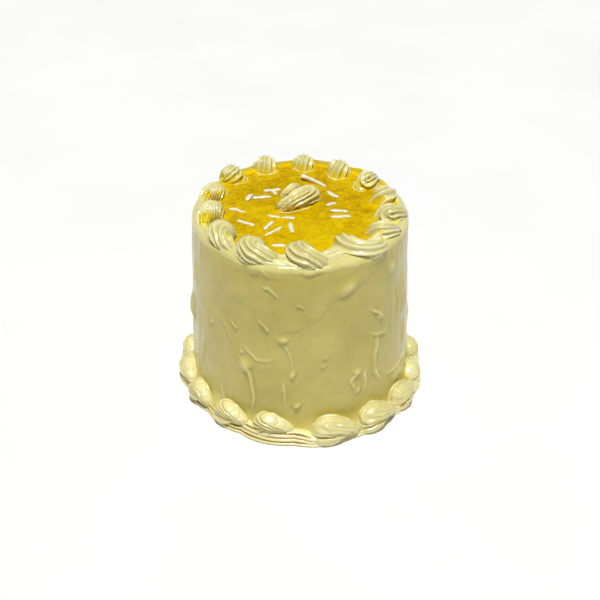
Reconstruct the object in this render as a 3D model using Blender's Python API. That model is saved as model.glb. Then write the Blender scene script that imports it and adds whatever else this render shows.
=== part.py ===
"""An iced lemon cake: a slightly tapered drum of cake under thick pale yellow icing, a piped shell
border round its foot and round its top edge, a pool of lemon glaze with white slivers lying in it,
and one piped swirl in the middle. Metres, +Z up, origin in the middle of the base."""

import math

import bmesh
import bpy
from mathutils import Vector

MM = 0.001
# Between two pieces that touch.
GAP = 0.35 * MM
# Edges that turn more than this are shaded sharp, and points nearer than this are made one.
SHARP_TURN = math.radians(38)
NEAR_POINTS = 0.06 * MM

# The iced drum.
DRUM_HEIGHT = 135 * MM
FOOT_RADIUS = 81.5 * MM
TOP_RADIUS = 74.5 * MM
EDGE_ROUND = 3.5 * MM
EDGE_TURNS = (30, 60, 90)
DRUM_SIDES = 96
WALL_ROWS = 16

# The shallow dish in its top, nearer to the back edge than to the front one.
DISH_RADIUS = 66.5 * MM
DISH_BACK = 4 * MM
DISH_SLOPE = 1.5 * MM
DISH_DEPTH = 2.5 * MM

# The pool of glaze in the dish on top.
GLAZE_DEPTH = 1.9 * MM
GLAZE_RADIUS = 64.6 * MM
GLAZE_SIDES = 112
GLAZE_EDGE_ROUND = 0.6 * MM
# Discs that a shell covers: how far along it from the middle of its head, and their radius, in mm.
SHELL_DISCS = ((0, 11.0), (6, 9.6), (11, 7.6), (16, 5.6), (20, 3.8))

# The layered skirt of icing under the lower border.
SKIRT_RADIUS = 91.8 * MM
SKIRT_HEIGHT = 5 * MM
SKIRT_LAYERS = 2
SKIRT_GROOVE = 1.3 * MM
SKIRT_STEP_BACK = 0.9 * MM
# The full-width part of a layer's edge, as shares of its thickness.
LAYER_EDGE = (0.35, 0.75)
SKIRT_SCALLOP = 1.8 * MM
# Under 1, the scallops have flat middles and narrow notches.
SCALLOP_POWER = 0.8
# Where the skirt runs wider or narrower: azimuth and half its stretch in degrees, and mm.
SKIRT_SWELLS = ((-86, 26, 1.2), (-142, 22, -3.4), (-50, 9, -1.0), (-24, 12, 1.2), (90, 60, -0.6))
SKIRT_SIDES = 84

# A piped shell is a ribbed blob. Its sections fan round a hinge low under its middle, from lying
# flat at the base of the head, up over the top and down into the tail. Each row of the table is the
# section's angle in degrees, how far it reaches from the hinge, and half its width.
SHELL_SECTIONS = (
    (0, 21.0, 9.8), (24, 21.7, 10.3), (47, 21.7, 10.0), (66, 19.3, 8.8), (88, 15.4, 7.0),
    (112, 13.0, 5.2), (138, 12.0, 3.4), (158, 11.3, 1.9),
)
HINGE_DROP = 3.2 * MM
NEAR_SIDE = 1.0 * MM
HEAD_MIDDLE = 11 * MM
# The ribs share out the section's upper side, and the plain rest has one point on each side.
RIBS = 7
RIB_SPREAD = 250
PLAIN_POINT = 155
RIB_DEPTH = 0.19
# How fast the tail bends to the left, in mm aside for each square mm ahead.
TAIL_BEND = 0.014

# Each upper shell: place round the top, distance of its head from the middle in mm, way its tail
# points from straight out, size, and length of its tail. Angles are in degrees, counter-clockwise
# seen from above, and places are from +X.
UPPER_SHELLS = (
    (113, 66, -18, 0.90, 0.40), (88, 64.5, -8, 0.88, 0.45), (63, 62.5, -10, 0.92, 0.55),
    (38, 61, 0, 0.95, 0.62), (14, 60.5, 26, 0.94, 0.68), (-11, 61, 0, 0.96, 0.66),
    (-32, 61, 52, 0.96, 0.90), (-59, 61, 45, 1.02, 0.95), (-91, 60, 60, 0.96, 0.92),
    (-121, 62, 66, 1.04, 0.92), (-147, 62, 68, 1.00, 0.84), (-176, 60.5, 64, 0.94, 0.84),
    (159, 64, 62, 0.92, 0.70), (137, 66.5, 10, 0.92, 0.42),
)

# The lower shells, in the same way.
LOWER_SHELLS = (
    (5, 82, 78, 0.98, 0.86), (-15, 82.5, 78, 0.98, 0.84), (-34, 84, 78, 1.00, 0.80),
    (-58, 82, 78, 1.14, 0.92), (-80, 80.5, 80, 1.10, 0.82), (-106, 80.5, 80, 1.14, 1.00),
    (-128, 80.5, 78, 1.04, 0.88), (-150, 82, 78, 1.00, 0.90), (-171, 82, 78, 0.98, 0.88),
    (172, 81.5, 78, 0.98, 0.66), (152, 81, 78, 1.00, 0.84), (131, 81, 78, 1.02, 0.86),
    (110, 81, 78, 1.02, 0.86), (89, 81, 78, 1.02, 0.86), (68, 81, 78, 1.02, 0.86),
    (47, 81, 78, 1.02, 0.86), (26, 81, 78, 1.02, 0.86),
)

# The swirl in the middle is two ribbed domes run together. Each row is a height, how far that
# section has wandered from the base towards the peak, its radius, and its twist in degrees.
SWIRL_SECTIONS = (
    (0.0, 0.0, 14.2, 0), (3.5, 0.0, 14.6, 20), (7.0, 0.15, 12.8, 48), (10.7, 0.40, 10.4, 80),
    (14.0, 0.70, 7.4, 115), (16.4, 0.92, 4.2, 150), (17.2, 1.0, 1.2, 180),
)
SWIRL_RIBS = 9
SWIRL_LOBES = (
    {"place": (-1.5, 4.5, 0.0), "lean": (6.0, 1.0), "size": 1.0},
    {"place": (-5.0, 9.0, 1.2), "lean": (-1.5, 5.5), "size": 0.78},
)

# The slivers in the glaze: middle x and y in mm, heading in degrees, length in mm.
SLIVERS = (
    (-36, 19, 71, 12), (-27, 18, 8, 14), (-20, 29, 16, 13), (-44, 0, -26, 14), (-37, -17, -28, 14),
    (-18, -8, -16, 11), (-8, -10, -5, 10), (-21, -21, 64, 13), (-18, -28, 43, 16), (-6, -23, -82, 13),
    (27, -2, -4, 13), (28, -8, 1, 15), (23, 23, -54, 13), (22, 9, 40, 9), (-14, -46, -6, 10),
    (-18, 25, -66, 7), (10, 42, -34, 22),
)
SLIVER_WIDTH = 1.9 * MM
SLIVER_LIFT = 0.25 * MM
SLIVER_SIDES = 6
# Sections of a sliver: how far along it from its middle, and how wide, as shares.
SLIVER_SECTIONS = ((-1.0, 0.35), (-0.55, 1.0), (0.5, 0.95), (1.0, 0.3))
# The last one is thicker and leans, with one end clear of the glaze.
TALL_SLIVER = len(SLIVERS) - 1
TALL_WIDTH = 2.8 * MM
TALL_LIFT = 3.4 * MM

# Strokes of the palette knife on the wall: azimuth in degrees, height, then length along the
# stroke, width, tilt from upright in degrees, and how far the icing stands out.
STROKES = (
    (-118, 47, 34, 11, -22, 1.9), (-105, 87, 24, 9, -62, 1.2), (-96, 66, 30, 9, -14, 1.3),
    (-97, 34, 26, 8, 0, 1.3), (-73, 106, 62, 18, 62, 1.3), (-48, 58, 30, 12, 2, 1.7),
    (-45, 42, 22, 10, -20, 1.2), (-31, 31, 22, 12, 24, 1.7), (-61, 44, 18, 10, -8, 1.1),
    (-109, 115, 16, 10, -40, 1.0), (-128, 60, 40, 14, 6, 1.0), (-146, 82, 40, 14, -8, 1.0),
    (-167, 66, 30, 12, 12, 1.7), (-122, 96, 26, 12, 30, 0.9), (-20, 84, 40, 16, -4, 1.1),
    (2, 50, 34, 16, 12, 1.3), (20, 92, 30, 16, 50, 1.1), (38, 50, 36, 16, -16, 1.3),
    (60, 88, 34, 18, 38, 1.1), (82, 56, 40, 16, -10, 1.3), (104, 92, 30, 16, 62, 1.1),
    (126, 50, 38, 14, 18, 1.3), (148, 88, 34, 16, -34, 1.1), (172, 104, 30, 14, 40, 1.0),
)
# A stroke's step is this many times steeper than its ramp.
STROKE_STEP = 2.5
MOST_RELIEF = 2.4 * MM
# Between these heights the strokes show, and they fade out over the last stretch.
STROKES_FROM = 24 * MM
STROKES_TO = 127 * MM
STROKE_FADE = 16 * MM

# Helpers that trim a piece reach well past it.
CUTTER_RADIUS = 120 * MM
CUTTER_LOW = 90 * MM
FOOT_CUTTER_TOP = 50 * MM
FOOT_CUTTER_LOW = -20 * MM

PIPING = (0.90, 0.86, 0.55)
# Colour and roughness of each finish.
FINISHES = {
    "icing": ((0.80, 0.75, 0.42), 0.32),
    "upper_piping": (PIPING, 0.34),
    "lower_piping": (PIPING, 0.36),
    "swirl_piping": (PIPING, 0.34),
    "glaze": ((0.78, 0.58, 0.03), 0.16),
}


def clear_scene():
    for item in list(bpy.data.objects):
        bpy.data.objects.remove(item)


def finish_of(name):
    """The Principled material for one of the finishes above."""
    found = bpy.data.materials.get(name)
    if found:
        return found
    colour, roughness = FINISHES[name]
    made = bpy.data.materials.new(name)
    made.use_nodes = True
    shader = made.node_tree.nodes["Principled BSDF"]
    shader.inputs["Base Color"].default_value = (*colour, 1)
    shader.inputs["Roughness"].default_value = roughness
    shader.inputs["Metallic"].default_value = 0
    return made


def shade_round(mesh):
    """Smooth shading that keeps the edges sharper than SHARP_TURN."""
    mesh.shade_smooth()
    mesh.set_sharp_from_angle(angle=SHARP_TURN)


def add_object(name, points, faces, finish, cutter=False):
    """A mesh object with its faces turned outwards. A cutter is a helper that is never a piece."""
    mesh = bpy.data.meshes.new(name)
    mesh.from_pydata([tuple(p) for p in points], [], faces)
    shape = bmesh.new()
    shape.from_mesh(mesh)
    bmesh.ops.recalc_face_normals(shape, faces=shape.faces)
    shape.to_mesh(mesh)
    shape.free()
    mesh.materials.append(finish_of(finish))
    shade_round(mesh)
    made = bpy.data.objects.new(name, mesh)
    bpy.context.scene.collection.objects.link(made)
    if cutter:
        made.hide_render = True
        made.display_type = "WIRE"
    return made


def apply_boolean(target, operation, other=None, collection=None, solver="EXACT"):
    """Cuts or joins target for good, and removes what it was cut by or joined with."""
    boolean = target.modifiers.new(operation.lower(), "BOOLEAN")
    boolean.operation = operation
    boolean.solver = solver
    if other:
        boolean.object = other
        others = [other]
    else:
        boolean.operand_type = "COLLECTION"
        boolean.collection = collection
        others = list(collection.objects)
    graph = bpy.context.evaluated_depsgraph_get()
    result = bpy.data.meshes.new_from_object(target.evaluated_get(graph))
    if operation == "DIFFERENCE":
        shape = bmesh.new()
        shape.from_mesh(result)
        bmesh.ops.triangulate(shape, faces=shape.faces)
        bmesh.ops.remove_doubles(shape, verts=shape.verts, dist=NEAR_POINTS)
        shape.to_mesh(result)
        shape.free()
    shade_round(result)
    target.modifiers.clear()
    old = target.data
    target.data = result
    bpy.data.meshes.remove(old)
    for item in others:
        bpy.data.objects.remove(item)


def ring_faces(rings, sides, closed=False):
    """Quads between neighbouring rings of points. A closed stack joins its last ring to its first."""
    faces = []
    last = rings if closed else rings - 1
    for row in range(last):
        above = (row + 1) % rings
        for i in range(sides):
            j = (i + 1) % sides
            faces.append((row * sides + i, row * sides + j, above * sides + j, above * sides + i))
    return faces


def fan_faces(first, sides, middle):
    return [(first + i, first + (i + 1) % sides, middle) for i in range(sides)]


def wall_radius(height):
    """Radius of the plain drum at a height, before knife strokes and the round top edge."""
    return FOOT_RADIUS + (TOP_RADIUS - FOOT_RADIUS) * height / DRUM_HEIGHT


def turn_gap(a, b):
    """The smaller turn from b to a, in radians, with its sign."""
    return (a - b + math.pi) % (2 * math.pi) - math.pi


def smoothstep(value):
    value = min(max(value, 0.0), 1.0)
    return value * value * (3 - 2 * value)


def stroke_relief(angle, height):
    """How far the knife strokes move the wall out at a place: a smooth ramp across each stroke that
    ends in a step along its leading edge, faded out near the two borders."""
    total = 0.0
    for azimuth, middle, length, width, tilt, lift in STROKES:
        along_wall = turn_gap(angle, math.radians(azimuth)) * wall_radius(height)
        up_wall = height - middle * MM
        lean = math.radians(tilt)
        along = up_wall * math.cos(lean) - along_wall * math.sin(lean)
        across = along_wall * math.cos(lean) + up_wall * math.sin(lean)
        end = 1 - smoothstep(abs(along) / (length * MM / 2))
        side = across / (width * MM)
        ramp = smoothstep(side + 1) if side < 0 else 1 - smoothstep(side * STROKE_STEP)
        total += lift * MM * end * ramp
    low = smoothstep((height - STROKES_FROM) / STROKE_FADE)
    high = smoothstep((STROKES_TO - height) / STROKE_FADE)
    return min(total, MOST_RELIEF) * low * high


def drum_top(gap=0.0):
    """Rows of the drum's outline from under the round edge into the dish, grown by a gap. Each row
    is a radius, a height and how far back its middle lies."""
    low = DRUM_HEIGHT - EDGE_ROUND
    centre = wall_radius(low) - EDGE_ROUND
    reach = EDGE_ROUND + gap
    rows = [(centre + reach, low, 0.0)]
    for degrees in EDGE_TURNS:
        turn = math.radians(degrees)
        rows.append((centre + reach * math.cos(turn), low + reach * math.sin(turn), 0.0))
    rows.append((DISH_RADIUS, DRUM_HEIGHT + gap, DISH_BACK))
    rows.append((DISH_RADIUS - DISH_SLOPE, DRUM_HEIGHT - DISH_DEPTH + gap, DISH_BACK))
    return rows


def drum_profile():
    """The drum's outline from the base's edge up the wall, over the round edge and into the dish."""
    top = drum_top()
    low = top[0][1]
    wall = [(wall_radius(low * k / WALL_ROWS), low * k / WALL_ROWS, 0.0) for k in range(WALL_ROWS)]
    return wall + top


def turned_solid(name, outline, sides, finish, relief=None, cutter=False):
    """A closed turned solid from an outline that runs from the bottom to the top."""
    points = []
    for radius, height, back in outline:
        for i in range(sides):
            angle = 2 * math.pi * i / sides
            out = radius + (relief(angle, height) if relief else 0.0)
            points.append((out * math.cos(angle), out * math.sin(angle) + back, height))
    rings = len(outline)
    faces = ring_faces(rings, sides)
    for first, row in ((0, outline[0]), ((rings - 1) * sides, outline[-1])):
        points.append((0, row[2], row[1]))
        faces += fan_faces(first, sides, len(points) - 1)
    return add_object(name, points, faces, finish, cutter)


def make_drum():
    return turned_solid("iced_cake", drum_profile(), DRUM_SIDES, "icing", stroke_relief)


def scallop(angle):
    """0 between two lower shells and 1 in the middle of one, following their uneven spacing."""
    places = sorted(math.radians(shell[0]) % (2 * math.pi) for shell in LOWER_SHELLS)
    spans = zip(places, places[1:] + [places[0] + 2 * math.pi])
    turned = (angle - places[0]) % (2 * math.pi) + places[0]
    for start, end in spans:
        if start <= turned <= end:
            return abs(math.cos(math.pi * (turned - start) / (end - start))) ** SCALLOP_POWER
    return 0.0


def skirt_radius(angle):
    """The skirt's edge: a scallop under each shell, and a few places that are wider or narrower."""
    swell = 0.0
    for azimuth, stretch, amount in SKIRT_SWELLS:
        share = turn_gap(angle, math.radians(azimuth)) / math.radians(stretch)
        swell += amount * MM * math.exp(-(share**2))
    return SKIRT_RADIUS + swell + SKIRT_SCALLOP * (scallop(angle) - 0.5)


def make_skirt():
    """A ring of thin layers, each a little shorter than the one under it, with a groove between."""
    layer = SKIRT_HEIGHT / SKIRT_LAYERS
    steps = [(-SKIRT_GROOVE / 2, 0.0)]
    for k in range(SKIRT_LAYERS):
        back = SKIRT_STEP_BACK * k
        for share in LAYER_EDGE:
            steps.append((-back, layer * (k + share)))
        steps.append((-back - SKIRT_GROOVE, layer * (k + 1)))
    points = []
    for offset, height in steps:
        for i in range(SKIRT_SIDES):
            angle = 2 * math.pi * i / SKIRT_SIDES
            out = skirt_radius(angle) + offset
            points.append((out * math.cos(angle), out * math.sin(angle), height))
    for height in (SKIRT_HEIGHT, 0.0):
        for i in range(SKIRT_SIDES):
            angle = 2 * math.pi * i / SKIRT_SIDES
            inner = wall_radius(0) + GAP
            points.append((inner * math.cos(angle), inner * math.sin(angle), height))
    faces = ring_faces(len(steps) + 2, SKIRT_SIDES, closed=True)
    return add_object("foot_skirt", points, faces, "lower_piping")


def rib_angles():
    """Angles round a section, at a rib's crest and at the groove beside it in turn, then the two
    plain ones on the side that nothing shows. The first and last of them are crests."""
    count = 2 * RIBS - 1
    step = math.radians(RIB_SPREAD) / (count - 1)
    ribbed = [(-math.radians(RIB_SPREAD) / 2 + step * i, i % 2) for i in range(count)]
    plain = math.radians(PLAIN_POINT)
    return ribbed + [(plain, 0), (-plain, 0)]


def piped_shell(name, finish, scale, tail, place, heading):
    """A piped shell with the middle of its head at place and its tail towards heading."""
    around = rib_angles()
    points = []
    for turn, reach, half_width in SHELL_SECTIONS:
        turn = math.radians(turn)
        out = (reach * MM + NEAR_SIDE) / 2
        deep = (reach * MM - NEAR_SIDE) / 2
        for angle, groove in around:
            size = 1 - RIB_DEPTH * groove
            far = out + deep * size * math.cos(angle)
            side = half_width * MM * size * math.sin(angle)
            ahead = HEAD_MIDDLE - far * math.cos(turn)
            if ahead > 0:
                ahead *= tail
            bend = TAIL_BEND * max(ahead, 0) ** 2 / MM
            points.append(Vector((ahead, side + bend, far * math.sin(turn) - HINGE_DROP)) * scale)
    sides = len(around)
    rings = len(SHELL_SECTIONS)
    faces = ring_faces(rings, sides)
    for first in (0, (rings - 1) * sides):
        points.append(sum(points[first : first + sides], Vector()) / sides)
        faces += fan_faces(first, sides, len(points) - 1)
    made = add_object(name, points, faces, finish)
    made.location = place
    made.rotation_euler.z = heading
    return made


def swirl_lobe(name, lobe, floor):
    """One twisted, ribbed dome of the swirl, leaning towards its peak."""
    sides = SWIRL_RIBS * 2
    points = []
    for height, share, radius, twist in SWIRL_SECTIONS:
        x = lobe["lean"][0] * share * MM
        y = lobe["lean"][1] * share * MM
        for i in range(sides):
            angle = 2 * math.pi * i / sides + math.radians(twist)
            reach = radius * lobe["size"] * MM * (1 - RIB_DEPTH * (i % 2))
            up = height * lobe["size"] * MM
            points.append(Vector((x + reach * math.cos(angle), y + reach * math.sin(angle), up)))
    rings = len(SWIRL_SECTIONS)
    faces = ring_faces(rings, sides)
    for first in (0, (rings - 1) * sides):
        points.append(sum(points[first : first + sides], Vector()) / sides)
        faces += fan_faces(first, sides, len(points) - 1)
    made = add_object(name, points, faces, "swirl_piping")
    made.location = Vector(lobe["place"]) * MM + Vector((0, 0, floor))
    return made


def dish_cutter():
    """The drum's top, grown by the gap, as a helper that trims what stands on it."""
    rows = drum_top(GAP)
    outline = [(CUTTER_RADIUS, CUTTER_LOW, 0.0), (CUTTER_RADIUS, rows[0][1], 0.0)] + rows[1:]
    return turned_solid("dish_cutter", outline, DRUM_SIDES, "icing", cutter=True)


def foot_cutter():
    """The drum's foot and the skirt under it, grown by the gap, for trimming the lower shells."""
    low = SKIRT_HEIGHT + GAP
    outline = [
        (CUTTER_RADIUS, FOOT_CUTTER_LOW, 0.0),
        (CUTTER_RADIUS, low, 0.0),
        (wall_radius(low) + GAP, low, 0.0),
        (wall_radius(FOOT_CUTTER_TOP) + GAP, FOOT_CUTTER_TOP, 0.0),
    ]
    return turned_solid("foot_cutter", outline, DRUM_SIDES, "icing", cutter=True)


def make_border(name, finish, shells, base, cutter_of):
    """A ring of piped shells, each trimmed to what it stands on and leans against."""
    for number, (azimuth, ring, aim, scale, tail) in enumerate(shells, 1):
        angle = math.radians(azimuth)
        place = (ring * MM * math.cos(angle), ring * MM * math.sin(angle), base)
        heading = angle + math.radians(aim)
        shell = piped_shell(f"{name}_{number:02d}", finish, scale, tail, place, heading)
        apply_boolean(shell, "DIFFERENCE", cutter_of())


def make_swirl():
    floor = DRUM_HEIGHT - DISH_DEPTH + GAP + GLAZE_DEPTH + GAP
    swirl, second = [
        swirl_lobe(name, lobe, floor)
        for name, lobe in zip(("center_swirl", "second_lobe"), SWIRL_LOBES)
    ]
    apply_boolean(swirl, "UNION", second, solver="MANIFOLD")


def covered_discs():
    """Middle and radius of the discs that the upper shells cover, seen from above."""
    discs = []
    for azimuth, ring, aim, scale, tail in UPPER_SHELLS:
        angle = math.radians(azimuth)
        heading = angle + math.radians(aim)
        way = Vector((math.cos(heading), math.sin(heading)))
        left = Vector((-way.y, way.x))
        head = Vector((math.cos(angle), math.sin(angle))) * ring * MM
        for along, radius in SHELL_DISCS:
            ahead = along * tail * MM
            bend = TAIL_BEND * ahead**2 / MM
            middle = head + (way * ahead + left * bend) * scale
            discs.append((middle, radius * scale * MM + GAP))
    return discs


def glaze_radius(angle, discs):
    """How far the pool reaches from the middle of the dish: up to its side, and short of every
    shell that stands on it."""
    edge = GLAZE_RADIUS
    way = Vector((math.cos(angle), math.sin(angle)))
    for middle, radius in discs:
        seen = middle - Vector((0, DISH_BACK))
        along = seen.dot(way)
        aside = abs(seen.cross(way))
        if along > 0 and aside < radius:
            edge = min(edge, along - math.sqrt(radius**2 - aside**2))
    return edge


def make_glaze():
    """The pool of glaze with its slivers half sunk in it, all one piece."""
    floor = DRUM_HEIGHT - DISH_DEPTH + GAP
    top = floor + GLAZE_DEPTH
    rows = (
        (0.0, floor),
        (0.0, top - GLAZE_EDGE_ROUND),
        (-GLAZE_EDGE_ROUND, top),
    )
    points = []
    discs = covered_discs()
    for inset, height in rows:
        for i in range(GLAZE_SIDES):
            angle = 2 * math.pi * i / GLAZE_SIDES
            out = glaze_radius(angle, discs) + inset
            points.append((out * math.cos(angle), out * math.sin(angle) + DISH_BACK, height))
    faces = ring_faces(len(rows), GLAZE_SIDES)
    points += [(0, DISH_BACK, floor), (0, DISH_BACK, top)]
    faces += fan_faces(0, GLAZE_SIDES, len(points) - 2)
    faces += fan_faces((len(rows) - 1) * GLAZE_SIDES, GLAZE_SIDES, len(points) - 1)
    glaze = add_object("lemon_glaze", points, faces, "glaze")
    group = bpy.data.collections.new("slivers")
    bpy.context.scene.collection.children.link(group)
    for number, sliver in enumerate(SLIVERS):
        make_sliver(group, number, sliver, top)
    apply_boolean(glaze, "UNION", collection=group, solver="MANIFOLD")
    bpy.data.collections.remove(group)


def make_sliver(group, number, sliver, level):
    """A thin strip with narrow ends, half sunk in the glaze. The tall one leans out of it."""
    x, y, heading, length = sliver
    tall = number == TALL_SLIVER
    reach = length * MM / 2
    radius = (TALL_WIDTH if tall else SLIVER_WIDTH) / 2
    points = []
    for along, wide in SLIVER_SECTIONS:
        lift = TALL_LIFT * (1 - along) / 2 if tall else SLIVER_LIFT
        for i in range(SLIVER_SIDES):
            around = 2 * math.pi * (i + 0.5) / SLIVER_SIDES
            side = radius * wide * math.cos(around)
            up = radius * wide * math.sin(around) + lift
            points.append((reach * along, side, up))
    faces = ring_faces(len(SLIVER_SECTIONS), SLIVER_SIDES)
    faces.append(tuple(range(SLIVER_SIDES)))
    faces.append(tuple(range(len(points) - SLIVER_SIDES, len(points))))
    made = add_object(f"sliver_{number}", points, faces, "icing")
    made.location = (x * MM, y * MM, level)
    made.rotation_euler.z = math.radians(heading)
    bpy.context.scene.collection.objects.unlink(made)
    group.objects.link(made)


def main():
    clear_scene()
    make_drum()
    make_skirt()
    dish_floor = DRUM_HEIGHT - DISH_DEPTH
    make_border("upper_shell", "upper_piping", UPPER_SHELLS, dish_floor, dish_cutter)
    make_border("lower_shell", "lower_piping", LOWER_SHELLS, SKIRT_HEIGHT, foot_cutter)
    make_glaze()
    make_swirl()


main()
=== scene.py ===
"""An iced lemon cake with piped borders and a glazed top. Every piece is a fine mesh that stands
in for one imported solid, in its place and at its size."""

import math

import bpy
import numpy as np
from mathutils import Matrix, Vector


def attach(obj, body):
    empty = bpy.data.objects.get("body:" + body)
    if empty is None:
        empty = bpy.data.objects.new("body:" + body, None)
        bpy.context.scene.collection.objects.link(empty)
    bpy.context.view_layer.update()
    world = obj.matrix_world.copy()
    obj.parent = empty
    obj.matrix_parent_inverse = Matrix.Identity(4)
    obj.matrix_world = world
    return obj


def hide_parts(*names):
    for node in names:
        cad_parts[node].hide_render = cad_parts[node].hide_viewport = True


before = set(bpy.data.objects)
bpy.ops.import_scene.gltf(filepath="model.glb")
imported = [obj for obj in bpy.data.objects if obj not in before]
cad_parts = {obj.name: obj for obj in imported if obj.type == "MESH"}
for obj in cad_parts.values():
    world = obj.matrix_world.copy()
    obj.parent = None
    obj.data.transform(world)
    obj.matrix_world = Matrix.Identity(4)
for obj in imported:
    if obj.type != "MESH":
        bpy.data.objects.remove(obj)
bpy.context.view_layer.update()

MM = 0.001
# The azimuth of the front, in degrees.
FRONT = -90

# The drum, the dish in its top and the glaze, all in mm.
DRUM_HEIGHT = 135.0
FOOT_RADIUS = 81.5
TOP_RADIUS = 74.5
EDGE_ROUND = 3.5
DISH_RADIUS = 66.5
DISH_BACK = 4.0
DISH_SLOPE = 1.5
DISH_FLOOR = 132.5
GLAZE_TOP = 134.75
SKIRT_TOP = 5.0

# Sections of a piped shell: degrees round its hinge, reach from the hinge and half its width in mm.
# The last one closes its tail under what it stands on.
SHELL_SECTIONS = (
    (0, 21.0, 9.8), (24, 21.7, 10.3), (47, 21.7, 10.0), (66, 19.3, 8.8), (88, 15.4, 7.0),
    (112, 13.4, 5.9), (138, 12.6, 4.6), (158, 11.8, 3.2), (176, 10.8, 1.4),
)
# How far the hinge lies below what the shell stands on, how near to it the sections start, how far
# ahead of the head's middle it lies, and how far from there the tail ends.
HINGE_DROP = 3.2
NEAR_SIDE = 1.0
HEAD_MIDDLE = 11.0
TAIL_REACH = 22.3
# How far apart ribs would lie round an eye if they didn't widen.
EYE_SPACING = 2.3
# How much steeper each rib is on the side away from the eye.
RIB_LEAN = 0.09
# How deep the grooves between ribs are, as a share of the section, and how sharp the crests.
RIB_DEPTH = 0.22
RIB_POWER = 1.1
# How far round the section straight ribs run, in degrees.
RIB_SPREAD = 250
# The hollow in the middle of an eye.
PIT_DEPTH = 0.16
# Faint ribs on the smooth cores: how far apart in mm, and how deep.
CORE_SPACING = 3.6
CORE_DEPTH = 0.09
# The thin line round the foot of some shells.
RING_ROWS = 48
RING_SIDES = 8
RING_GAP = 0.9
RING_THICK = 0.5

SHELL_ROWS = 72
SHELL_SIDES = 112
# How much closer together a shell's columns lie over its top than evenly spread ones, in degrees.
TOP_CROWDING = 24

# Each upper shell: place round the top in degrees, distance of its head from the middle in mm, way
# that it points there from straight out, how far it bends to its left from there to the end of its
# tail, size, length of its tail, and its ribs. Those are a number, for ribs that run straight over
# it, or the eye that they curl round: degrees up over the shell, degrees round to its left, and how
# their spacing grows outwards, where less means wider.
UPPER_SHELLS = (
    (113, 67.5, -12, 40, 0.93, 0.44, 9),
    (88, 66, -4, 40, 0.87, 0.48, 9),
    (63, 62, -4, 50, 0.92, 0.60, 9),
    (38, 60, -6, 60, 0.92, 0.70, (50, -38, 0.66)),
    (14, 59, 4, 70, 0.92, 0.80, 6),
    (-11, 60, 14, 75, 0.94, 0.90, (58, -56, 0.60)),
    (-32, 61, 24, 90, 0.86, 1.06, 9),
    (-57.5, 53, -18, 185, 0.88, 2.08, 7),
    (-91, 60.5, 31, 100, 1.04, 1.08, (80, 38, 0.70)),
    (-121, 62.5, 45, 108, 1.06, 1.14, (86, 20, 0.70)),
    (-147.5, 61.5, 50, 76, 1.03, 1.10, (98, 40, 0.68)),
    (-175, 59.5, 33, 74, 0.95, 1.04, (104, 26, 0.76)),
    (160, 62.5, 42, 66, 0.90, 0.86, (94, 32, 0.76)),
    (137, 67.5, 2, 50, 0.96, 0.52, (108, 50, 0.78)),
)
# Each lower shell is given in the same way, but its ribs are an eye with a smooth core round it,
# how far the core is drawn out along the shell, the distances in mm from the eye of the grooves
# outside the core, how deep they are and how many degrees apart notches cross the core, or 0 where
# faint ribs cover it instead.
LEFT_LINES = (7.0, 9.5, 12.0, 14.5, 17.0)
BACK_LINES = (7.2, 9.6, 12.0)
LOWER_SHELLS = (
    (5, 82, 76, 30, 0.98, 0.95, (60, -34, 0.6, (8.6,), 0.10, 0)),
    (-15, 82.5, 76, 30, 0.98, 0.95, (58, -38, 0.6, (7.8,), 0.10, 34)),
    (-34, 84.5, 74, 30, 1.02, 0.98, (66, -44, 0.45, (8.8,), 0.22, 0)),
    (-56, 84.5, 74, 32, 1.12, 1.08, (78, -48, 0.42, (11.2,), 0.26, 0)),
    (-78.5, 84.5, 74, 32, 1.12, 1.12, (82, -46, 0.42, (11.4,), 0.26, 0)),
    (-107, 81, 72, 36, 1.04, 0.92, (92, -26, 0.50, (7.6, 10.2, 12.8, 15.4, 18.0), 0.15, 24)),
    (-129, 82.5, 72, 36, 0.98, 0.96, (92, -18, 0.48, LEFT_LINES, 0.15, 24)),
    (-151, 82.8, 72, 34, 0.94, 0.88, (90, -10, 0.48, LEFT_LINES, 0.14, 26)),
    (-171, 82.5, 74, 32, 0.96, 0.95, (84, 0, 0.5, (8.0, 10.8, 13.6), 0.11, 36)),
    (172, 81.5, 76, 30, 0.98, 0.75, (80, 0, 0.5, (8.2,), 0.09, 34)),
    (152, 81, 74, 32, 1.00, 0.95, (86, -16, 0.72, BACK_LINES, 0.12, 28)),
    (131, 81, 76, 30, 1.02, 0.95, (78, -38, 0.5, (8.8, 12.4), 0.14, 0)),
    (110, 81, 74, 32, 1.02, 0.95, (88, -16, 0.72, BACK_LINES, 0.12, 26)),
    (89, 81, 76, 30, 1.02, 0.95, (80, -42, 0.45, (9.6,), 0.17, 0)),
    (68, 81, 74, 32, 1.02, 0.95, (90, -18, 0.75, (7.4, 9.8, 12.2), 0.12, 24)),
    (47, 81, 76, 30, 1.02, 0.95, (80, -40, 0.5, (8.8, 12.2), 0.15, 0)),
    (26, 81, 74, 32, 1.02, 0.95, (84, -20, 0.7, (7.6, 10.6), 0.12, 30)),
)
LOWER_HEIGHT = 0.84
# How much of the grooves' painted shade the lower shells have all over, with a ribbed core and a
# notched one.
RIBBED_SHADE = 0.45
NOTCHED_SHADE = 0.2
# Sections of the upper shell that is drawn out longest, and which one that is.
SWEPT_SECTIONS = (
    (0, 21.0, 9.4), (24, 21.7, 9.9), (47, 20.6, 9.8), (66, 17.8, 9.4), (88, 15.2, 8.8),
    (112, 13.8, 7.8), (138, 12.8, 6.4), (158, 11.8, 4.6), (176, 10.8, 1.8),
)
SWEPT = 8

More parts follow.
